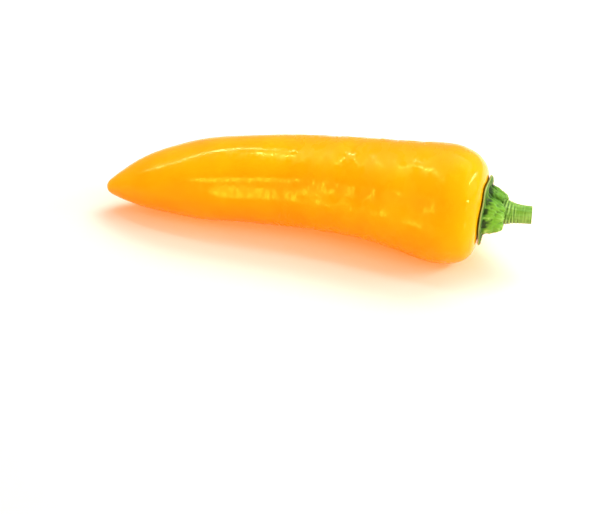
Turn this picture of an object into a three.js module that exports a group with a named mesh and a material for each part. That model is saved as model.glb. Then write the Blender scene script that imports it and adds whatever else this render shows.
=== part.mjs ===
// A sweet pointed pepper lying on its side on a table, whole, with its calyx and stem.
// Millimetres, +Z up, the table top at Z = 0. The tip points to -X and the stem to +X.
// Three pieces that can be told apart: the fruit, the green calyx on its crown, and the stem.

import * as THREE from "three";

// ---- sizes that drive the shape -------------------------------------------------------

const FRUIT_LENGTH = 165;       // tip to crown, along X
const MIDDLE = { x: 92.434, y: -0.789 }; // centre of the whole pepper's outline on the table

// Centre line of the fruit at equal steps along X, as [sideways Y, height Z].
const CENTRE_LINE = [[-5.6, 9.2], [-0.8, 15], [1.8, 19], [3, 21.5], [0.4, 22.6], [-1.6, 21.4]];

// Girth: distance along X from the tip and radius there, from the tip round to the crown's middle.
const GIRTH = [
  [0, 0], [0.5, 1.7], [1.6, 3.0], [3.6, 4.3], [8, 6.8], [17, 11.0], [30, 14.7], [46, 17.7],
  [68, 18.6], [92, 19.3], [114, 20.1], [132, 21.5], [147, 23.6], [156, 22.1], [161.5, 18.5],
  [164.2, 13.9], [165, 8], [164.6, 0],
];

// Round the fruit, 0 degrees faces -Y, 90 is the top and 270 rests on the table.
// Three lobes swell, as [degrees, share of the radius], and three furrows sink between them, as
// [degrees, share of the radius, distance from the tip where it is full, narrowness].
const LOBES = [[95, 0.02], [215, 0.125], [325, 0.14]];
const FURROWS = [[20, 0.055, 60, 36], [155, 0.04, 135, 20], [270, 0.15, 135, 20]];
const LOBE_NARROWNESS = 6;      // power of (1 + cos) / 2: a larger power is a narrower ridge
const LOBES_START = 15;         // lobes and furrows grow from here, the lobes to...
const LOBES_FULL = 135;         // ...here
const SHOULDER_RISE = 3.0;      // how far the fullest lobe stands past the crown
const SHOULDER_START = 0.77;    // share of the girth curve where that rise starts...
const SHOULDER_END = 0.955;     // ...and ends

const GAP = 0.35;               // clearance between the pieces

// Calyx: upper side as [radius, height above the fruit's skin], from the rim to the stem.
const CALYX_RIM = 13.1;
const CALYX_TOP = [
  [13.5, 0.9], [13.0, 1.6], [11.8, 1.5], [10.6, 1.9], [9.9, 3.4], [9.4, 5.6],
  [8.4, 7.8], [7.2, 9.0], [6.1, 8.7], [5.7, 7.0], [5.6, 4.7],
];
const CALYX_FOLDS = 6;          // folds round the raised collar, and teeth round the rim
const FOLD_DEPTH = 0.07;        // share of the collar's radius
const FOLD_HEIGHT = 0.10;       // share of the collar's height
const TOOTH = 0.045;            // share of the rim's radius
const FOLD_FACES = 5;           // degrees: one fold faces this way

// Stem: height above the crown along the fruit's line, and radius, from its root to the cut.
const STEM = [[5.1, 4.9], [8.2, 5.1], [9.8, 4.9], [12, 4.2], [15, 3.8], [19.2, 3.6], [19.6, 3.4]];
const STEM_RISE = 0.003;        // the stem bends upward by this much per square millimetre...
const STEM_LEAN = 0.005;        // ...and away from the front by this much...
const STEM_BENDS_FROM = 7;      // ...from here on
const STEM_RIDGES = 5;
const STEM_RIDGE_DEPTH = 0.035;

const FRUIT_RINGS = 54;
const FRUIT_SIDES = 44;
const CALYX_SIDES = 48;
const STEM_SIDES = 28;

// ---- small helpers --------------------------------------------------------------------

const radians = THREE.MathUtils.degToRad;

function angles(count) {
  return Array.from({ length: count }, (_, i) => (i / count) * 2 * Math.PI);
}

// One ridge round the axis: 1 at its own direction, falling to 0 opposite.
function ridge(theta, degrees, narrowness) {
  return ((1 + Math.cos(theta - radians(degrees))) / 2) ** narrowness;
}

// A closed skin over rings of points, with a single point closing each end.
function closedSkin(startPoint, rings, endPoint) {
  const sides = rings[0].length;
  const points = [startPoint, ...rings.flat(), endPoint];
  const last = points.length - 1;
  const faces = [];
  for (let j = 0; j < sides; j += 1) {
    const next = (j + 1) % sides;
    faces.push(0, 1 + j, 1 + next);
    for (let i = 0; i < rings.length - 1; i += 1) {
      const here = 1 + i * sides;
      const ahead = here + sides;
      faces.push(here + j, ahead + j, here + next);
      faces.push(here + next, ahead + j, ahead + next);
    }
    faces.push(last, last - sides + next, last - sides + j);
  }
  const geometry = new THREE.BufferGeometry().setFromPoints(points);
  geometry.setIndex(faces);
  geometry.translate(-MIDDLE.x, -MIDDLE.y, 0);
  geometry.computeVertexNormals();
  return geometry;
}

// ---- the fruit ------------------------------------------------------------------------

const centreLine = new THREE.CatmullRomCurve3(
  CENTRE_LINE.map(([y, z], i) => new THREE.Vector3((i * FRUIT_LENGTH) / (CENTRE_LINE.length - 1), y, z)),
  false, "catmullrom", 0.5,
);
const FULLEST_LOBE = Math.max(...LOBES.map(([, size]) => size));
const girth = new THREE.SplineCurve(GIRTH.map(([x, r]) => new THREE.Vector2(x, r)));

// Centre, forward direction, and the two directions across the fruit at a distance from the tip.
function frameAt(distance) {
  const t = THREE.MathUtils.clamp(distance / FRUIT_LENGTH, 0, 1);
  const along = centreLine.getTangent(t);
  const front = new THREE.Vector3().crossVectors(along, new THREE.Vector3(0, 0, 1)).normalize();
  const up = new THREE.Vector3().crossVectors(front, along);
  return { centre: centreLine.getPoint(t), along, front, up };
}

// A point on the skin: `share` runs from the tip (0) to the middle of the crown (1).
function skinPoint(share, theta) {
  const [distance, radius] = girth.getPointAt(share).toArray();
  const { centre, along, front, up } = frameAt(distance);
  const grow = THREE.MathUtils.smoothstep(distance, LOBES_START, LOBES_FULL);
  let lobes = 0;
  for (const [degrees, size] of LOBES) lobes += size * ridge(theta, degrees, LOBE_NARROWNESS);
  let furrows = 0;
  for (const [degrees, size, full, narrowness] of FURROWS) {
    const sunk = THREE.MathUtils.smoothstep(distance, LOBES_START, full);
    furrows += size * sunk * ridge(theta, degrees, narrowness);
  }
  const shoulder = (share - SHOULDER_START) / (SHOULDER_END - SHOULDER_START);
  const overShoulder = Math.sin(Math.PI * THREE.MathUtils.clamp(shoulder, 0, 1)) ** 2;
  const rise = SHOULDER_RISE * (lobes / FULLEST_LOBE) * overShoulder;
  const reach = Math.max(radius, 0) * (1 + grow * lobes - furrows);
  return centre
    .addScaledVector(along, rise)
    .addScaledVector(front, reach * Math.cos(theta))
    .addScaledVector(up, reach * Math.sin(theta));
}

// The ripe flesh gives a little where it touches the table, which leaves small flat patches.
function pressedFlat(point) {
  point.z = Math.max(point.z, 0);
  return point;
}

function fruitGeometry() {
  const rings = [];
  for (let i = 1; i < FRUIT_RINGS; i += 1) {
    const even = i / FRUIT_RINGS;
    const share = even - 0.08 * Math.sin(2 * Math.PI * even);   // rings crowd at the tip and crown
    rings.push(angles(FRUIT_SIDES).map((theta) => pressedFlat(skinPoint(share, theta))));
  }
  return closedSkin(skinPoint(0, 0), rings, skinPoint(1, 0));
}

// ---- the calyx ------------------------------------------------------------------------

const crown = frameAt(FRUIT_LENGTH);

// Share of the girth curve, on the crown side, where the fruit has this radius.
function crownShare(radius) {
  let low = SHOULDER_START;
  let high = 1;
  for (let i = 0; i < 30; i += 1) {
    const middle = (low + high) / 2;
    const isWider = middle < 0.85 || girth.getPointAt(middle).y > radius;
    if (isWider) low = middle; else high = middle;
  }
  return (low + high) / 2;
}

function aboveSkin(radius, theta, height) {
  return skinPoint(crownShare(radius), theta).addScaledVector(crown.along, height);
}

function calyxGeometry() {
  const under = [3, 6, 9, 11.5, CALYX_RIM].map((radius) => angles(CALYX_SIDES).map((theta) => {
    const tooth = 1 + TOOTH * Math.cos(CALYX_FOLDS * (theta - radians(FOLD_FACES)));
    return aboveSkin(radius * (radius > 9 ? tooth : 1), theta, GAP);
  }));
  const top = CALYX_TOP.map(([radius, height]) => angles(CALYX_SIDES).map((theta) => {
    const fold = Math.cos(CALYX_FOLDS * (theta - radians(FOLD_FACES)));
    const onCollar = radius > 6.5 && radius < 10.5 ? 1 : 0;
    const spread = radius > 10.5 ? TOOTH * fold : onCollar * FOLD_DEPTH * fold;
    return aboveSkin(radius * (1 + spread), theta, height * (1 + onCollar * FOLD_HEIGHT * fold));
  }));
  const floor = CALYX_TOP[CALYX_TOP.length - 1][1];
  return closedSkin(aboveSkin(0, 0, GAP), [...under, ...top], aboveSkin(0, 0, floor));
}

// ---- the stem -------------------------------------------------------------------------

function stemPoint(height, radius, theta) {
  const past = Math.max(height - STEM_BENDS_FROM, 0);
  const ridged = radius * (1 + STEM_RIDGE_DEPTH * Math.cos(STEM_RIDGES * theta));
  const toFront = ridged * Math.cos(theta);
  const toTop = ridged * Math.sin(theta);
  const tilt = 2 * past * (STEM_LEAN * toFront - STEM_RISE * toTop);
  return crown.centre.clone()
    .addScaledVector(crown.along, height + tilt)
    .addScaledVector(crown.front, toFront - STEM_LEAN * past ** 2)
    .addScaledVector(crown.up, toTop + STEM_RISE * past ** 2);
}

function stemGeometry() {
  const rings = STEM.map(([height, radius]) =>
    angles(STEM_SIDES).map((theta) => stemPoint(height, radius, theta)));
  const [rootHeight] = STEM[0];
  const [cutHeight] = STEM[STEM.length - 1];
  return closedSkin(stemPoint(rootHeight, 0, 0), rings, stemPoint(cutHeight, 0, 0));
}

// ---- the pepper -----------------------------------------------------------------------

const skin = new THREE.MeshStandardMaterial({ name: "ripe_skin", color: 0xfc9a08, roughness: 0.25 });
const green = new THREE.MeshStandardMaterial({ name: "calyx_green", color: 0x6f9c34, roughness: 0.6 });
const stemGreen = new THREE.MeshStandardMaterial({ name: "stem_green", color: 0x7fa83f, roughness: 0.6 });

function piece(name, geometry, material) {
  const mesh = new THREE.Mesh(geometry, material);
  mesh.name = name;
  return mesh;
}

const pepper = new THREE.Group();
pepper.name = "sweet_pointed_pepper";
pepper.add(
  piece("pepper_body", fruitGeometry(), skin),
  piece("calyx", calyxGeometry(), green),
  piece("stem", stemGeometry(), stemGreen),
);

export default pepper;
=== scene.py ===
# %% [markdown]
# # A sweet pointed pepper, lying on its side
#
# A long ripe pepper has three things to get right: a smooth, waxy fruit with soft lobes, a green
# calyx that is folded round the root of the stem, and a short ridged stem with a straight cut.
# A plain frame of the same pepper, with the right size and place, is loaded first. It says where
# everything goes, and the pieces made below take its place for the eye.

# %% Load the measured frame
import math

import bpy
import numpy as np
from mathutils import Matrix


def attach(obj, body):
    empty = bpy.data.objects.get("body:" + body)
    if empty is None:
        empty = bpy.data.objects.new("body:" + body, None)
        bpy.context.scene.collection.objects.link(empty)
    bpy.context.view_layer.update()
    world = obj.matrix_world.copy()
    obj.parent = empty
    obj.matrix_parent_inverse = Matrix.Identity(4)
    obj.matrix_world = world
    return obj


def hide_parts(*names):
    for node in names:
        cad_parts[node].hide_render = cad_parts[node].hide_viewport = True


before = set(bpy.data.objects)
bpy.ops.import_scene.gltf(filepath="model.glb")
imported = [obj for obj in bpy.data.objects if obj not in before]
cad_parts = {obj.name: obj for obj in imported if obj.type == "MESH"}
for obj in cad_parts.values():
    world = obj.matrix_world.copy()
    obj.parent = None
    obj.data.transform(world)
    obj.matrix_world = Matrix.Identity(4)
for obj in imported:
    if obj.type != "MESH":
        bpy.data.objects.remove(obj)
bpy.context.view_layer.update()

# %% [markdown]
# ## The shape of the fruit
#
# A pepper could be sculpted, or lathed and then bent. It is worked out as a formula here, because the
# calyx has to follow the crown closely, and a formula can be asked for any point of the skin.
# The fruit is a centre line with a girth round it. Both are smooth curves through a few points, and
# those points are rounded results of a fitting program with some changed, so a learner should
# read them as one pepper's measurements and not as proportions to design with.
# Everything is worked out in millimetres, the way it would be measured, and turned into metres when
# a mesh is made.

# %% Smooth curves through a few points
def through(points, t, mirrored):
    """Catmull-Rom curve. Between two points it is the cubic whose slope at each point is half of the
    step from the point before it to the point after it. At the ends, the missing point is either the
    mirror image of the next one or the end point itself. t counts the points from 0."""
    p = np.asarray(points, float)
    first = 2 * p[0] - p[1] if mirrored else p[0]
    last = 2 * p[-1] - p[-2] if mirrored else p[-1]
    p = np.vstack([first, p, last])
    i = np.clip(np.asarray(t, float).astype(int), 0, len(p) - 4)
    w = (t - i)[..., None]
    p0, p1, p2, p3 = (p[i + k] for k in range(4))
    curve = 2 * p0 - 5 * p1 + 4 * p2 - p3 + w * (3 * (p1 - p2) + p3 - p0)
    return p1 + 0.5 * w * (p2 - p0 + w * curve)


FRUIT_LENGTH = 165.0   # mm, tip to crown
MIDDLE = np.array([92.434, -0.789, 0.0])   # mm, centre of the pepper's outline on the table
CENTRE_LINE = np.array([[0, -5.6, 9.2], [33, -0.8, 15.0], [66, 1.8, 19.0],
                        [99, 3.0, 21.5], [132, 0.4, 22.6], [165, -1.6, 21.4]])
GIRTH = np.array([[0, 0], [0.5, 1.7], [1.6, 3.0], [3.6, 4.3], [8, 6.8], [17, 11.0], [30, 14.7],
                  [46, 17.7], [68, 18.6], [92, 19.3], [114, 20.1], [132, 21.5], [147, 23.6],
                  [156, 22.1], [161.5, 18.5], [164.2, 13.9], [165, 8], [164.6, 0]])

fine = through(GIRTH, np.linspace(0, len(GIRTH) - 1, 6000), mirrored=False)
fine_share = np.concatenate([[0], np.cumsum(np.linalg.norm(np.diff(fine, axis=0), axis=1))])
fine_share /= fine_share[-1]
print("girth curve:", len(fine), "points, widest radius", round(fine[:, 1].max(), 2), "mm")

# %% [markdown]
# ## Lobes and furrows
#
# A pepper grows from three or four carpels, and each one shows as a lobe that swells toward the
# shoulders, with a furrow where two of them meet. Each lobe is a broad ridge round the axis and each
# furrow a narrow one that is taken away. At the shoulders the lobes also stand a little past the
# crown, which leaves the hollow that the calyx sits in.

# %% A point on the skin
# Lobes as degrees round the axis and share of the radius. Furrows as degrees, share, distance from the
# tip where it is full in mm, and narrowness. The front furrow is up to 0.6 mm deeper than the frame's.
LOBES = [(95, 0.02), (215, 0.125), (325, 0.14)]
FURROWS = [(16, 0.075, 60, 36), (155, 0.04, 135, 20), (270, 0.15, 135, 20)]
LOBE_NARROWNESS = 6
GROWN_FROM, GROWN_AT = 15, 135      # mm from the tip: where both begin, and where the lobes are full
SHOULDER_RISE = 3.0                 # mm
SHOULDER_SPAN = (0.77, 0.955)       # share of the girth curve


def ridge(theta, degrees, narrowness):
    """(1 + cos) / 2 of the angle from the ridge's direction, raised to a power that narrows it."""
    return ((1 + np.cos(theta - math.radians(degrees))) / 2) ** narrowness


def smoothstep(x, start, end):
    """0 before start, 1 after end, and 3x^2 - 2x^3 between."""
    x = np.clip((x - start) / (end - start), 0, 1)
    return x * x * (3 - 2 * x)


def frame_at(distance):
    """Centre, forward direction, and the two directions across the fruit. The forward direction is
    the slope of the centre line, the front one lies flat, and the up one is square to both."""
    steps = len(CENTRE_LINE) - 1
    t = np.clip(distance / FRUIT_LENGTH, 0, 1) * steps
    ahead = through(CENTRE_LINE, np.minimum(t + 0.005, steps), mirrored=True)
    behind = through(CENTRE_LINE, np.maximum(t - 0.005, 0), mirrored=True)
    along = (ahead - behind) / np.linalg.norm(ahead - behind, axis=-1, keepdims=True)
    front = np.cross(along, [0, 0, 1.0])
    front /= np.linalg.norm(front, axis=-1, keepdims=True)
    return through(CENTRE_LINE, t, mirrored=True), along, front, np.cross(front, along)


def skin_point(share, theta, relief=0.0):
    """Goes out from the centre line by the girth times one plus the lobes less the furrows, and
    forward by the shoulder's rise. `share` runs from the tip (0) to the middle of the crown (1).
    `relief` is added to the distance from the centre line, in mm."""
    share, theta = np.broadcast_arrays(share, theta)
    distance = np.interp(share, fine_share, fine[:, 0])
    radius = np.maximum(np.interp(share, fine_share, fine[:, 1]), 0)
    centre, along, front, up = frame_at(distance)
    lobes = sum(size * ridge(theta, at, LOBE_NARROWNESS) for at, size in LOBES)
    furrows = sum(size * smoothstep(distance, GROWN_FROM, full) * ridge(theta, at, narrow)
                  for at, size, full, narrow in FURROWS)
    reach = radius * (1 + smoothstep(distance, GROWN_FROM, GROWN_AT) * lobes - furrows) + relief
    over = np.clip((share - SHOULDER_SPAN[0]) / np.ptp(SHOULDER_SPAN), 0, 1)
    fullest_lobe = max(size for _, size in LOBES)
    rise = SHOULDER_RISE * lobes / fullest_lobe * np.sin(np.pi * over) ** 2
    across = np.cos(theta)[..., None] * front + np.sin(theta)[..., None] * up
    return centre + rise[..., None] * along + reach[..., None] * across


tip_to_crown = np.ptp(skin_point(np.linspace(0, 1, 200)[:, None], np.zeros((1, 1)))[..., 0])
print("length along the front:", round(tip_to_crown, 1), "mm")

# %% [markdown]
# ## Relief too soft to have a name
#
# No fruit is a perfect formula. Its skin has broad shallow dents from growing against leaves, and fine
# wrinkles that run round it, because the flesh has shrunk a little along its length since picking.
# They hardly change the outline, but they break the reflections of the lamps into the short strokes
# that make a pepper look real. A sum of sine waves that each go round a whole number of times closes
# on itself without a seam.

# %% Noise that closes round the axis
def waves(seed, count, lengths, turns):
    """Sum of sine waves divided by the root of half their number. Each has a wavelength along the
    pepper from `lengths`, in mm, and goes round it a whole number of times from `turns`."""
    rng = np.random.default_rng(seed)
    length = rng.uniform(*lengths, count)
    turn = rng.integers(turns[0], turns[1] + 1, count) * rng.choice([-1, 1], count)
    phase = rng.uniform(0, 2 * np.pi, count)

    def noise(distance, theta):
        total = sum(np.sin(2 * np.pi * distance / a + k * theta + p)
                    for a, k, p in zip(length, turn, phase))
        return total / math.sqrt(count / 2)
    return noise


broad_dents = waves(seed=3, count=14, lengths=(28, 70), turns=(0, 4))
small_dents = waves(seed=8, count=26, lengths=(7, 16), turns=(0, 7))
ring_wrinkles = waves(seed=5, count=22, lengths=(2.6, 4.6), turns=(0, 3))


def skin_relief(distance, theta):
    """Broad dents, small dents that are deepest on the stem half, and faint ring wrinkles. All of
    them end before the middle of the crown."""
    toward_stem = smoothstep(distance, 60, 110)
    broad = 0.07 * smoothstep(distance, 0, 30) * broad_dents(distance, theta)
    small = (0.004 + 0.056 * toward_stem) * small_dents(distance, theta)
    rings = 0.004 * smoothstep(distance, 25, 60) * ring_wrinkles(distance, theta)
    return (broad + small + rings) * (1 - smoothstep(distance, 158, 164.5))


sample = skin_relief(np.linspace(20, 150, 400)[:, None], np.linspace(0, 6.28, 90)[None])
print("relief from", round(sample.min(), 2), "to", round(sample.max(), 2), "mm")

# %% [markdown]
# ## From rings of points to a mesh
#
# Fruit, calyx and stem are all closed skins over rings: each ring joins the next with quads, and a fan
# closes each end. One function puts such a grid into a mesh, in metres. Numbers that a material needs
# at each point, such as how deep in a fold it lies, go along as named attributes.

# %% A closed skin over rings
MM = 0.001


def closed_skin(name, rings, first, last, attributes):
    """Point (i, j) is ring i, side j. The quad (i, j), (i+1, j), (i+1, j+1), (i, j+1) faces outward
    when the rings go forward and the sides turn from the front up over the top."""
    n, m = rings.shape[:2]
    points = np.vstack([[first], rings.reshape(-1, 3), [last]])
    side = np.arange(m)
    after = (side + 1) % m
    start = 1 + np.arange(n - 1)[:, None] * m
    quads = np.stack([start + side, start + m + side, start + m + after, start + after], -1)
    end = len(points) - 1
    first_fan = np.stack([0 * side, 1 + side, 1 + after], -1)
    last_fan = np.stack([0 * side + end, end - m + after, end - m + side], -1)
    corners = np.concatenate([first_fan.ravel(), quads.ravel(), last_fan.ravel()])
    sizes = np.concatenate([np.full(m, 3), np.full((n - 1) * m, 4), np.full(m, 3)])
    mesh = bpy.data.meshes.new(name)
    mesh.vertices.add(len(points))
    mesh.vertices.foreach_set("co", ((points - MIDDLE) * MM).astype(np.float32).ravel())
    mesh.loops.add(len(corners))
    mesh.loops.foreach_set("vertex_index", corners.astype(np.int32))
    mesh.polygons.add(len(sizes))
    mesh.polygons.foreach_set("loop_start", (np.cumsum(sizes) - sizes).astype(np.int32))
    mesh.update(calc_edges=True)
    mesh.validate()
    mesh.shade_smooth()
    for key, grid in attributes.items():
        values = np.concatenate([[grid[0].mean()], grid.ravel(), [grid[-1].mean()]])
        mesh.attributes.new(key, "FLOAT", "POINT").data.foreach_set("value", values.astype(np.float32))
    piece = bpy.data.objects.new(name, mesh)
    bpy.context.scene.collection.objects.link(piece)
    print(name, "has", int((sizes - 2).sum()), "triangles")
    return piece


# %% [markdown]
# ## The edge of the calyx
#
# The calyx ends in six blunt teeth, and the skin is painted with a thin brown line of shade where that
# edge lies on it. Both pieces need the same edge, so it is one function of the angle, written down
# before either is made.

# %% Where the calyx's edge lies
CALYX_RIM = 13.1                         # mm, mean radius of the calyx's edge
TEETH, TOOTH, TOOTH_FACES = 6, 0.045, 5  # how many, share of the radius, degrees
EDGE_WANDERS = 0.012                     # share of the radius
edge_waver = waves(seed=13, count=10, lengths=(400, 900), turns=(3, 11))


def rim_radius(theta):
    """The mean radius times one, plus a cosine that gives six blunt teeth, plus a small wandering."""
    teeth = TOOTH * np.cos(TEETH * (theta - math.radians(TOOTH_FACES)))
    return CALYX_RIM * (1 + teeth + EDGE_WANDERS * edge_waver(0, theta))


print("rim radius toward the front:", round(float(rim_radius(0.0)), 1), "mm")

# %% [markdown]
# ## The fruit
#
# The rings crowd at the tip and over the shoulders, where the skin turns fast. Where the fruit meets
# the table its flesh gives, so points that would be below the table are moved up onto it. The mesh
# carries three attributes: the crown, which is painted paler partly as its own colour and partly as
# painted light on the shoulder, the stem half's duller bloom, and the line of painted shade under the
# calyx's edge.

# %% Make the fruit
SIDES = 232
RINGS, CROWDING = 400, 0.08
even = np.arange(1, RINGS) / RINGS
share = (even - CROWDING * np.sin(2 * np.pi * even))[:, None]
theta = np.linspace(0, 2 * np.pi, SIDES, endpoint=False)[None]
distance = np.interp(share, fine_share, fine[:, 0])
fruit_rings = skin_point(share, theta, skin_relief(distance, theta))
fruit_rings[..., 2] = np.maximum(fruit_rings[..., 2], 0)
crown_side = smoothstep(share, 0.80, 0.93) * np.ones_like(theta)
crown_girth = np.interp(share, fine_share, fine[:, 1])
# A ring of painted shade on the skin where the calyx's edge lies on it.
calyx_edge_shade_mask = np.exp(-((crown_girth - rim_radius(theta)) / 0.5) ** 2) * (share > 0.9)
bloom = smoothstep(distance, 72, 92) * np.ones_like(theta)
fruit = closed_skin("ripe_fruit", fruit_rings,
                    skin_point(np.zeros(1), np.zeros(1))[0], skin_point(np.ones(1), np.zeros(1))[0],
                    {"crown": crown_side, "bloom": bloom, "calyx_edge_shade_mask": calyx_edge_shade_mask})

# %% [markdown]
# ## The calyx
#
# The calyx is what is left of the flower: a green cap, about 27 mm across, with a thin edge that
# stands a hair off the skin and a crumpled collar round the root of the stem. A flat disc with bumps
# would not do, because the walls of the collar's folds are nearly upright. So its section is a
# profile of radius and height, once for the middle of a fold and once for the crease between two
# folds, and going round, the section changes from one to the other.

# %% Two sections and six folds
CREASE = np.array([[13.4, 0.7], [13.3, 1.2], [12.8, 1.5], [11.6, 1.3], [10.2, 1.5], [9.0, 2.4],
                   [8.2, 3.7], [7.3, 5.1], [6.6, 6.2], [6.1, 6.9], [5.7, 6.4], [5.6, 4.7]])
FOLD = np.array([[13.4, 0.7], [13.3, 1.2], [12.8, 1.5], [11.6, 1.2], [10.6, 1.6], [10.3, 3.3],
                 [10.1, 5.4], [9.1, 7.7], [7.8, 9.2], [6.4, 9.0], [5.7, 7.2], [5.6, 4.7]])
FOLDS = [(8, 1.0, 52), (84, 0.50, 13), (122, 0.40, 17), (168, 0.85, 24), (222, 0.95, 26),
         (276, 0.80, 20)]     # degrees round the axis, fullness, half width in degrees

crown_radius = fine[fine_share > 0.85]
crown_share = fine_share[fine_share > 0.85]
_, crown_along, crown_front, crown_up = (v[0] for v in frame_at(np.array([FRUIT_LENGTH])))


def above_skin(radius, theta, height):
    """The skin's point at that radius on the crown, moved out along the fruit's line."""
    share = np.interp(radius, crown_radius[::-1, 1], crown_share[::-1])
    return skin_point(share, theta) + np.asarray(height)[..., None] * crown_along


def fold_fullness(theta):
    """The largest of the folds here: each is its fullness times exp(-(angle / half width)^6)."""
    near = [np.abs((theta - math.radians(at) + np.pi) % (2 * np.pi) - np.pi) for at, _, _ in FOLDS]
    return np.max([full * np.exp(-(d / math.radians(width)) ** 6)
                   for d, (_, full, width) in zip(near, FOLDS)], axis=0)


print("collar: fullness at the front", round(float(fold_fullness(np.radians(8.0))), 2))

# %% Make the calyx
sides = 360
around = np.linspace(0, 2 * np.pi, sides, endpoint=False)[None]
t = np.linspace(0, len(FOLD) - 1, 120)[:, None]
full = fold_fullness(around)[..., None]
crease = through(CREASE, t, mirrored=False)
section = crease + full * (through(FOLD, t, mirrored=False) - crease)
radius, height = section[..., 0], section[..., 1]

pillows = waves(seed=11, count=24, lengths=(6, 14), turns=(2, 7))
creases = waves(seed=14, count=30, lengths=(2.4, 6.0), turns=(8, 22))
pleats = waves(seed=12, count=16, lengths=(14, 40), turns=(7, 17))
inward = t * 1.7 + np.zeros_like(around)        # mm along the section
on_collar = smoothstep(t, 3.4, 5.2) * (1 - smoothstep(t, 9.6, 10.8))
on_brim = smoothstep(t, 1.6, 2.8) * (1 - smoothstep(t, 4.2, 6.0))
puffed = np.minimum(np.abs(pillows(inward, around)), 1.6) - 0.8
creased = 0.6 - np.minimum(np.abs(creases(inward, around)), 1.5)
pleated = 0.6 - np.minimum(np.abs(pleats(inward, around)), 1.5)
pockets = np.exp(-((t - 4.0) / 1.0) ** 2) * smoothstep(pleats(30.0, around), -0.5, 0.5)
relief = on_collar * (0.40 * puffed + 0.30 * creased) + on_brim * pleated - 1.5 * pockets
toothed = 1 - smoothstep(t, 2.5, 4.5)
lift = 0.20 * (0.5 + 0.5 * np.clip(edge_waver(90, around), -1, 1)) * toothed
radius = radius * (1 + (rim_radius(around) / CALYX_RIM - 1) * toothed)
radius = radius + on_collar * (0.25 * puffed + 0.10 * creased)
height = (height + lift + on_collar * (0.30 * puffed + 0.12 * creased) + 0.45 * on_brim * pleated
          - 0.4 * pockets)
top_rings = above_skin(radius, around, height)

GAP = 0.35   # mm between the calyx and the skin
under_radius = np.array([3, 6, 9, 10.8, 12.2, 12.9])[:, None]
under_toothed = smoothstep(under_radius, 9, 12.2)
under_lift = GAP + lift[0] * smoothstep(under_radius, 10.2, 12.9)
under_rings = above_skin(under_radius * (1 + (rim_radius(around) / CALYX_RIM - 1) * under_toothed), around,
                         under_lift + 0 * around)
rings = np.concatenate([under_rings, top_rings])
under_zero = np.zeros_like(under_rings[..., 0])
# Fold fullness on the collar, which the calyx's material uses to paint light on the fold tops and shade in
# the creases.
depth = np.concatenate([under_zero, full[..., 0] * on_collar])
rim = np.concatenate([under_zero, (1 - smoothstep(t, 0.6, 2.0)) + 0 * around])
# The underside's -0.5 and the collar's hollows give painted shade in the calyx's material.
bulge = np.concatenate([under_zero - 0.5, relief])
calyx = closed_skin("calyx_cap", rings, above_skin(np.zeros(1), np.zeros(1), [GAP])[0],
                    above_skin(np.zeros(1), np.zeros(1), FOLD[-1:, 1])[0],
                    {"fold": depth, "rim": rim, "bulge": bulge})

# %% [markdown]
# ## The stem
#
# The stem is cut short and straight. It flares into the calyx, has a few blunt ridges along it and
# fine wrinkles round it where it has dried, and its cut face is slightly hollow.

# %% Make the stem
STEM = np.array([[5.1, 4.9], [7.4, 5.0], [9.2, 5.0], [10.8, 4.6], [12.6, 4.1], [15, 3.8], [17.5, 3.65],
                 [19.2, 3.6], [19.55, 3.45], [19.6, 3.1], [19.45, 2.2], [19.3, 1.0]])
STEM_RISE, STEM_LEAN, STEM_BENDS_FROM = 0.003, 0.005, 7.0   # per mm, per mm, mm
stem_sides = 160
around = np.linspace(0, 2 * np.pi, stem_sides, endpoint=False)[None]
t = np.linspace(0, len(STEM) - 1, 180)[:, None]
profile = through(STEM, t, mirrored=False)
height = profile[..., 0] + 0 * around
on_side = smoothstep(t, 0.5, 1.5) * (1 - smoothstep(t, 7.2, 8.2))
ring_lines = waves(seed=21, count=18, lengths=(0.75, 1.5), turns=(0, 2))
stem_lines = waves(seed=22, count=14, lengths=(30, 90), turns=(9, 24))
wrinkled = on_side * (0.35 + 0.65 * (1 - smoothstep(height, 11.5, 16)))
radius = profile[..., 1] * (1 + 0.03 * np.cos(5 * around + 0.4) * on_side)
ringed = wrinkled * ring_lines(height, around)
radius = radius + 0.08 * ringed + 0.05 * on_side * stem_lines(height, around)
past = np.maximum(height - STEM_BENDS_FROM, 0)
to_front, to_top = radius * np.cos(around), radius * np.sin(around)
tilt = 2 * past * (STEM_LEAN * to_front - STEM_RISE * to_top)
crown_centre = frame_at(np.array([FRUIT_LENGTH]))[0][0]
stem_rings = (crown_centre
              + (height + tilt)[..., None] * crown_along
              + (to_front - STEM_LEAN * past ** 2)[..., None] * crown_front
              + (to_top + STEM_RISE * past ** 2)[..., None] * crown_up)
cut_face = smoothstep(t, 7.7, 8.6) + 0 * around
CUT_RADIUS = 3.6                        # mm
from_axis = np.clip(radius / CUT_RADIUS, 0, 1)
stem = closed_skin("cut_stem", stem_rings, stem_rings[0].mean(0), stem_rings[-1].mean(0),
                   {"cut": cut_face, "from_axis": from_axis, "ringed": ringed})

# %% [markdown]
# ## Colours and nodes
#
# Colours are written as they would be picked from a colour chart, and one function turns them into the
# linear values that light is worked out with. Another adds a node, sets it and links it in one go, so
# that each material reads like a recipe. In a Mix node sockets 0, 6 and 7 are the factor and the two
# colours, and output 2 is the colour. In a MapRange node sockets 1 to 4 are from and to.

# %% Helpers for materials
RGBA = {"data_type": "RGBA"}


def linear(hex_colour):
    """sRGB to linear: c / 12.92 for dark values, ((c + 0.055) / 1.055) ^ 2.4 for the rest."""
    values = [int(hex_colour[i:i + 2], 16) / 255 for i in (1, 3, 5)]
    return [c / 12.92 if c <= 0.04045 else ((c + 0.055) / 1.055) ** 2.4 for c in values] + [1.0]


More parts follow.
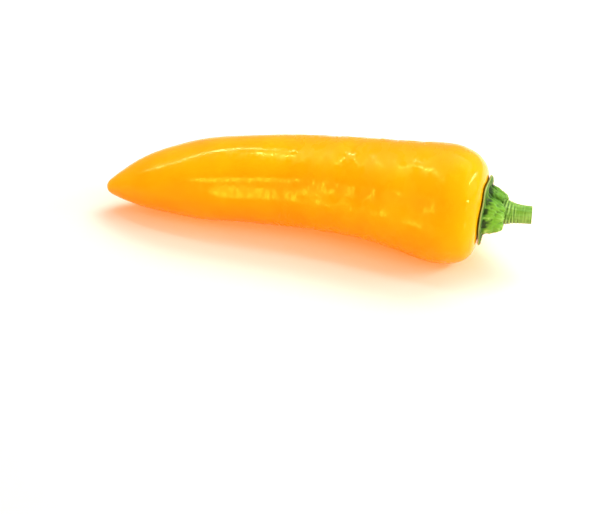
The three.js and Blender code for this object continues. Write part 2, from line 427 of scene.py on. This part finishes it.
def add(tree, kind, sockets=(), out=0, **settings):
    """Adds a node of that kind, sets its properties, and for each named or numbered input either
    links the socket given or sets the value given. Gives back the output asked for, if it has any."""
    node = tree.nodes.new("ShaderNode" + kind)
    for key, value in settings.items():
        setattr(node, key, value)
    for key, value in dict(sockets).items():
        if isinstance(value, bpy.types.NodeSocket):
            tree.links.new(value, node.inputs[key])
        else:
            node.inputs[key].default_value = value
    return node.outputs[out] if node.outputs else node


def new_material(name):
    """An empty material and its node tree."""
    material = bpy.data.materials.new(name)
    material.use_nodes = True
    material.node_tree.nodes.clear()
    return material, material.node_tree


print("ripe orange in linear values:", [round(v, 3) for v in linear("#fa8d03")])

# %% [markdown]
# ## Ripe pepper skin
#
# The skin is a thin clear wax over flesh full of carotenoids, which let red and yellow-green through
# and take all the blue. So the diffuse colour is a very pure orange-yellow, and even its reflections
# look yellow. Fine wrinkles run round it and comb the highlights into dashes, and on the stem half the
# wax is dull in patches, which breaks them further. The crown is smooth, and painted a paler yellow,
# partly as its own colour and partly as painted light on the shoulder. A thin line of painted shade
# darkens the skin under the calyx's edge.

# %% Measure the skin's patterns
CLOUDS = 45.0        # patterns are cells to a metre: here one each 22 mm
PATCHES = 140.0      # dull wax, one each 7 mm
WRINKLES = 750.0     # one each 1.3 mm along the fruit, 2.5 times as long round it
GRAIN = 1400.0       # one each 0.7 mm, which is coarser than the real grain so that it shows
GLOSS = 0.09         # roughness where the wax is clean
print("wrinkles are", round(1000 / WRINKLES, 1), "mm apart, dull patches", round(1000 / PATCHES), "mm")

# %% Make the skin's material
skin, tree = new_material("waxed_pepper_skin")
place = add(tree, "TexCoord", out="Object")
stretched = add(tree, "Mapping", {0: place, 3: (1.0, 0.4, 0.4)})
combed = add(tree, "TexNoise", {"Vector": stretched, "Scale": WRINKLES, "Detail": 1.0})
cloudy = add(tree, "TexNoise", {"Vector": place, "Scale": CLOUDS, "Detail": 3.0})
wax = add(tree, "TexNoise", {"Vector": place, "Scale": PATCHES, "Detail": 1.0})
grain = add(tree, "TexNoise", {"Vector": place, "Scale": GRAIN, "Detail": 2.0})
bloom = add(tree, "Attribute", out="Fac", attribute_name="bloom")
crown = add(tree, "Attribute", out="Fac", attribute_name="crown")
calyx_edge_shade_mask = add(tree, "Attribute", out="Fac", attribute_name="calyx_edge_shade_mask")
off_crown = add(tree, "MapRange", {0: crown, 1: 0.0, 2: 0.7, 3: 1.0, 4: 0.1})

# %% Dull the wax in dashes and patches
DULL_DASH, DULL_PATCH = 0.15, 0.25   # roughness that each adds to the clean wax
in_patch = add(tree, "MapRange", {0: wax, 1: 0.49, 2: 0.55, 3: 0.1, 4: 1.0})
bloomed = add(tree, "Math", {0: bloom, 1: in_patch}, operation="MULTIPLY")
patches = add(tree, "MapRange", {0: bloomed, 1: 0.0, 2: 1.0, 3: 0.0, 4: DULL_PATCH})
dashes = add(tree, "MapRange", {0: combed, 1: 0.44, 2: 0.56, 3: 0.0, 4: DULL_DASH})
dull = add(tree, "Math", {0: dashes, 1: patches})
roughness = add(tree, "Math", {0: dull, 1: off_crown, 2: GLOSS}, operation="MULTIPLY_ADD")
print("roughness runs from", GLOSS, "to", round(GLOSS + DULL_DASH + DULL_PATCH, 2))

# %% Colour the skin and join it up
clouds = add(tree, "MapRange", {0: cloudy, 1: 0.35, 2: 0.65})
# Partly painted light: the crown turns a paler yellow, as its own colour and as light on the shoulder.
lemon_and_painted_light = add(tree, "MapRange", {0: crown, 1: 0.0, 2: 1.0, 3: 0.0, 4: 0.75})
# Painted shade: a thin dark brown line on the skin under the calyx's edge.
painted_edge_shade = add(tree, "MapRange", {0: calyx_edge_shade_mask, 1: 0.2, 2: 1.0, 3: 0.0, 4: 0.85})
colour = add(tree, "Mix", {0: clouds, 6: linear("#fa8d03"), 7: linear("#fd9805")}, out=2, **RGBA)
colour = add(tree, "Mix", {0: lemon_and_painted_light, 6: colour, 7: linear("#fdb20a")}, out=2, **RGBA)
colour = add(tree, "Mix", {0: painted_edge_shade, 6: colour, 7: linear("#8a4a06")}, out=2, **RGBA)
bumps = add(tree, "Bump", {"Strength": off_crown, "Distance": 0.00004, "Height": combed})
bumps = add(tree, "Bump", {"Strength": 0.35, "Distance": 0.00001, "Height": grain, "Normal": bumps})
shader = add(tree, "BsdfPrincipled", {
    "Base Color": colour, "Roughness": roughness, "IOR": 1.33, "Specular Tint": linear("#ffdc50"),
    "Subsurface Weight": 0.12, "Subsurface Radius": (1.0, 0.45, 0.05), "Subsurface Scale": 0.004,
    "Normal": bumps})
add(tree, "OutputMaterial", {0: shader})
fruit.data.materials.append(skin)
print(skin.name, "has", len(tree.nodes), "nodes")

# %% [markdown]
# ## Calyx tissue
#
# The calyx is leaf: green, with painted highlights where it bulges and on the tops of the collar's
# folds, painted shade in the creases between them, and darkest painted shade in the pockets at the foot
# of the collar and on its underside. It is paler along its dry edge. It is satin, not waxy.

# %% Make the calyx's material
LEAF_BLOTCHES = 260.0    # one each 4 mm
LEAF_SPECKLES = 1500.0   # one each 0.7 mm, coarser than leaf cells so that it shows
leaf, tree = new_material("calyx_leaf_tissue")
place = add(tree, "TexCoord", out="Object")
blotch = add(tree, "TexNoise", {"Vector": place, "Scale": LEAF_BLOTCHES, "Detail": 4.0})
speckle = add(tree, "TexNoise", {"Vector": place, "Scale": LEAF_SPECKLES, "Detail": 2.0})
fold = add(tree, "Attribute", out="Fac", attribute_name="fold")
edge = add(tree, "Attribute", out="Fac", attribute_name="rim")
bulge = add(tree, "Attribute", out="Fac", attribute_name="bulge")
# Painted light and shade: lighter green on the fold tops, darker green in the creases.
painted_fold_light = add(tree, "MapRange", {0: fold, 1: 0.0, 2: 0.9})
# Painted shade: near-black green in the pockets, the hollows and the underside.
painted_pocket_shade = add(tree, "MapRange", {0: bulge, 1: -0.15, 2: -0.9, 3: 0.0, 4: 0.95})
# Painted highlight: pale green where the collar bulges.
painted_bulge_highlight = add(tree, "MapRange", {0: bulge, 1: 0.15, 2: 0.6, 3: 0.0, 4: 0.75})
blotched = add(tree, "MapRange", {0: blotch, 1: 0.50, 2: 0.75, 3: 0.0, 4: 0.35})
dried = add(tree, "MapRange", {0: edge, 1: 0.7, 2: 1.0, 3: 0.0, 4: 0.5})
colour = add(tree, "Mix", {0: painted_fold_light, 6: linear("#3f6f10"), 7: linear("#6ca62a")}, out=2, **RGBA)
for factor, tint in [(painted_pocket_shade, "#1f3a06"), (painted_bulge_highlight, "#a6d35c"), (blotched, "#96c552"),
                     (dried, "#c4c877")]:
    colour = add(tree, "Mix", {0: factor, 6: colour, 7: linear(tint)}, out=2, **RGBA)
bumps = add(tree, "Bump", {"Strength": 0.6, "Distance": 0.00015, "Height": blotch})
bumps = add(tree, "Bump", {"Strength": 0.4, "Distance": 0.00004, "Height": speckle, "Normal": bumps})
shader = add(tree, "BsdfPrincipled", {"Base Color": colour, "Roughness": 0.4, "IOR": 1.4,
                                      "Specular IOR Level": 0.35, "Normal": bumps})
add(tree, "OutputMaterial", {0: shader})
calyx.data.materials.append(leaf)
print(leaf.name, "has", len(tree.nodes), "nodes")

# %% [markdown]
# ## Stem tissue
#
# The stem is the same green with fine lines along it and wrinkles round it, with painted highlights on
# their crests and painted shade between them. Its cut has dried: a thin dark ring of skin, pale fibres
# inside it, and a soft pith.

# %% Make the stem's material
FIBRES = 900.0           # one each 1.1 mm across the stem, eight times as long along it
STEM_BLOTCHES = 300.0    # one each 3 mm
bark, tree = new_material("stem_tissue_cut")
place = add(tree, "TexCoord", out="Object")
lengthwise = add(tree, "Mapping", {0: place, 3: (0.12, 1.0, 1.0)})
streaks = add(tree, "TexNoise", {"Vector": lengthwise, "Scale": FIBRES, "Detail": 3.0})
blotch = add(tree, "TexNoise", {"Vector": place, "Scale": STEM_BLOTCHES, "Detail": 3.0})
cut = add(tree, "Attribute", out="Fac", attribute_name="cut")
from_axis = add(tree, "Attribute", out="Fac", attribute_name="from_axis")
ringed = add(tree, "Attribute", out="Fac", attribute_name="ringed")
streaked = add(tree, "MapRange", {0: streaks, 1: 0.3, 2: 0.7})
# Painted highlight on the crests of the ring wrinkles.
painted_crest_highlight = add(tree, "MapRange", {0: ringed, 1: 0.2, 2: 1.4, 3: 0.0, 4: 0.7})
# Painted shade in the hollows between the ring wrinkles.
between = add(tree, "MapRange", {0: ringed, 1: -0.2, 2: -1.2, 3: 0.0, 4: 0.7})
blotched = add(tree, "MapRange", {0: blotch, 1: 0.5, 2: 0.75, 3: 0.0, 4: 0.3})
pith_ends = add(tree, "MapRange", {0: from_axis, 1: 0.55, 2: 0.8})
skin_ring = add(tree, "MapRange", {0: from_axis, 1: 0.86, 2: 0.96})
colour = add(tree, "Mix", {0: streaked, 6: linear("#4f8016"), 7: linear("#6c9c2b")}, out=2, **RGBA)
for factor, tint in [(painted_crest_highlight, "#a8d262"), (between, "#3c610f"), (blotched, "#b2d872")]:
    colour = add(tree, "Mix", {0: factor, 6: colour, 7: linear(tint)}, out=2, **RGBA)
face = add(tree, "Mix", {0: pith_ends, 6: linear("#dfe3b4"), 7: linear("#b9c57a")}, out=2, **RGBA)
face = add(tree, "Mix", {0: skin_ring, 6: face, 7: linear("#6d7f3a")}, out=2, **RGBA)
colour = add(tree, "Mix", {0: cut, 6: colour, 7: face}, out=2, **RGBA)
bumps = add(tree, "Bump", {"Strength": 0.5, "Distance": 0.0001, "Height": streaks})
shader = add(tree, "BsdfPrincipled", {"Base Color": colour, "Roughness": 0.45, "IOR": 1.4,
                                      "Normal": bumps})
add(tree, "OutputMaterial", {0: shader})
stem.data.materials.append(bark)
print(bark.name, "has", len(tree.nodes), "nodes")

# %% [markdown]
# ## Joining the pieces to the frame
#
# Each piece moves with the one body that the pepper has, and hides the plain solid it stands for.

# %% Ride and replace
for piece, node, slot in [(fruit, "pepper_body", "skin"), (calyx, "calyx", "calyx"),
                          (stem, "stem", "stem")]:
    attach(piece, "root")
    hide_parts(node)
    print(piece.name, "stands for", node)

# %% [markdown]
# ## The table
#
# The table is a plain white sheet, wide enough to fill the view. It has no gloss, so no lamp shows in
# it, and the shadow is all there is to see on it. An even sky fills in all round.

# %% Lay the table
bpy.ops.mesh.primitive_plane_add(size=6.0, location=(0, 0, 0))
table = bpy.context.object
table.name = "table_top"
paper, tree = new_material("white_paper")
shader = add(tree, "BsdfPrincipled", {"Base Color": linear("#e6e6e6"), "Roughness": 0.9,
                                      "Specular IOR Level": 0.0})
add(tree, "OutputMaterial", {0: shader})
table.data.materials.append(paper)

sky = bpy.data.worlds.new("even_sky")
bpy.context.scene.world = sky
sky.use_nodes = True
sky.node_tree.nodes["Background"].inputs[0].default_value = (1.0, 1.0, 1.0, 1.0)
sky.node_tree.nodes["Background"].inputs[1].default_value = 0.40
print("the table is", round(table.dimensions.x, 1), "m wide")

# %% [markdown]
# ## The lamps
#
# A glossy fruit is drawn by what it reflects. Three narrow lamps high up give the long streak on its
# upper side. A low one in front is seen twice, because the front furrow splits it. Two at the stem end
# give the marks on the shoulder, and wide soft ones light the colour. A place for each narrow lamp was
# worked out from the way that the skin reflects the view there, and was then moved.

# %% Hang the lamps
PEPPER = np.array([0.0, 0.0, 0.02])


def turned(thing, along, forward):
    """Turns a lamp or camera so that its own X runs along one direction, and its own -Z points
    forward, as nearly as it can while it stays square to X."""
    along = along / np.linalg.norm(along)
    up = np.cross(along, forward)
    up /= np.linalg.norm(up)
    place = np.eye(4)
    place[:3, :3], place[:3, 3] = np.array([along, up, np.cross(along, up)]).T, thing.location
    thing.matrix_world = Matrix(place)


def lamp(name, start, end, width, watts, colour="#ffffff"):
    """A rectangular lamp that runs from one point to another, in metres, and faces the pepper."""
    start, end = np.array(start), np.array(end)
    data = bpy.data.lights.new(name, "AREA")
    data.shape, data.size, data.size_y = "RECTANGLE", np.linalg.norm(end - start), width
    data.energy, data.color = watts, linear(colour)[:3]
    thing = bpy.data.objects.new(name, data)
    thing.location = (start + end) / 2
    bpy.context.scene.collection.objects.link(thing)
    turned(thing, end - start, PEPPER - (start + end) / 2)
    print(name, "is", round(data.size, 2), "x", width, "m,", watts, "W")
    return thing


left_strip = lamp("left_strip", (-1.40, -0.30, 0.95), (-0.50, 0.38, 0.95), width=0.05, watts=6.5)
right_strip = lamp("right_strip", (-0.40, 0.12, 0.95), (0.03, -0.43, 0.95), width=0.06, watts=6)
lamp("top_strip", (-0.57, 0.40, 0.95), (-0.32, 0.30, 0.95), width=0.035, watts=1.3)
low_strip = lamp("low_strip", (-0.50, -0.92, 0.14), (-0.16, -0.92, 0.14), width=0.14, watts=3.3,
                 colour="#ffe2a8")
lamp("overhead", (-0.20, 0.60, 1.10), (1.20, 0.60, 1.10), width=0.8, watts=7)
lamp("end_window", (1.00, -0.50, 0.60), (1.00, 0.40, 0.60), width=0.9, watts=4.5)
lamp("end_streak", (1.00, -0.02, 0.62), (1.00, 0.60, 0.39), width=0.04, watts=4)
lamp("end_spot", (1.00, -0.44, 0.14), (1.00, -0.30, 0.14), width=0.08, watts=2.5)
warm_fill = lamp("warm_fill", (-0.60, -1.00, 0.85), (0.60, -1.00, 0.85), width=0.5, watts=1.0,
                 colour="#ff9a3c")

# %% [markdown]
# ## Light through the fruit
#
# Ripe flesh lets some light through and throws back more, which warms the shadow. Following that light
# through the flesh takes long to render and is noisy, so a stand-in is used: an orange lamp that lights
# the table alone, and that only the table can block, so it reaches into the shadow. It is not how light
# really travels. A white lamp from behind also lights only the table. The left, right and low strips
# and the warm fill light only the pepper, so that they don't lighten the table where its shadow lies.

# %% Let some light through the fruit
only_table = bpy.data.collections.new("table_alone")
only_pepper = bpy.data.collections.new("pepper_alone")
only_table.objects.link(table)
for piece in (fruit, calyx, stem):
    only_pepper.objects.link(piece)
glow = lamp("glow", (-0.25, -0.02, 0.6), (0.25, -0.02, 0.6), width=0.3, watts=3.0, colour="#ff9c22")
back_light = lamp("back_light", (-0.30, 0.90, 1.00), (0.90, 0.90, 1.00), width=0.5, watts=12)
glow.light_linking.blocker_collection = only_table
for thing, lit in [(glow, only_table), (back_light, only_table), (left_strip, only_pepper),
                   (right_strip, only_pepper), (low_strip, only_pepper), (warm_fill, only_pepper)]:
    thing.light_linking.receiver_collection = lit

# %% [markdown]
# ## The camera
#
# A 75 mm lens about half a metre away, a little to the stem's side and 35 degrees above the table.

# %% Set the camera
AZIMUTH, ELEVATION, AWAY = math.radians(14.0), math.radians(35.0), 0.524
camera = bpy.data.objects.new("camera", bpy.data.cameras.new("camera"))
camera.data.lens, camera.data.sensor_width = 75.0, 36.0
look_at = np.array([0.0, -0.0238, 0.0])
back = np.array([math.sin(AZIMUTH) * math.cos(ELEVATION),
                 -math.cos(AZIMUTH) * math.cos(ELEVATION), math.sin(ELEVATION)])
camera.location = look_at + AWAY * back
bpy.context.scene.collection.objects.link(camera)
turned(camera, np.array([math.cos(AZIMUTH), math.sin(AZIMUTH), 0.0]), -back)
bpy.context.scene.camera = camera
bpy.context.scene.view_settings.view_transform = "Standard"
print("the camera is at", np.round(np.array(camera.location), 3), "m")
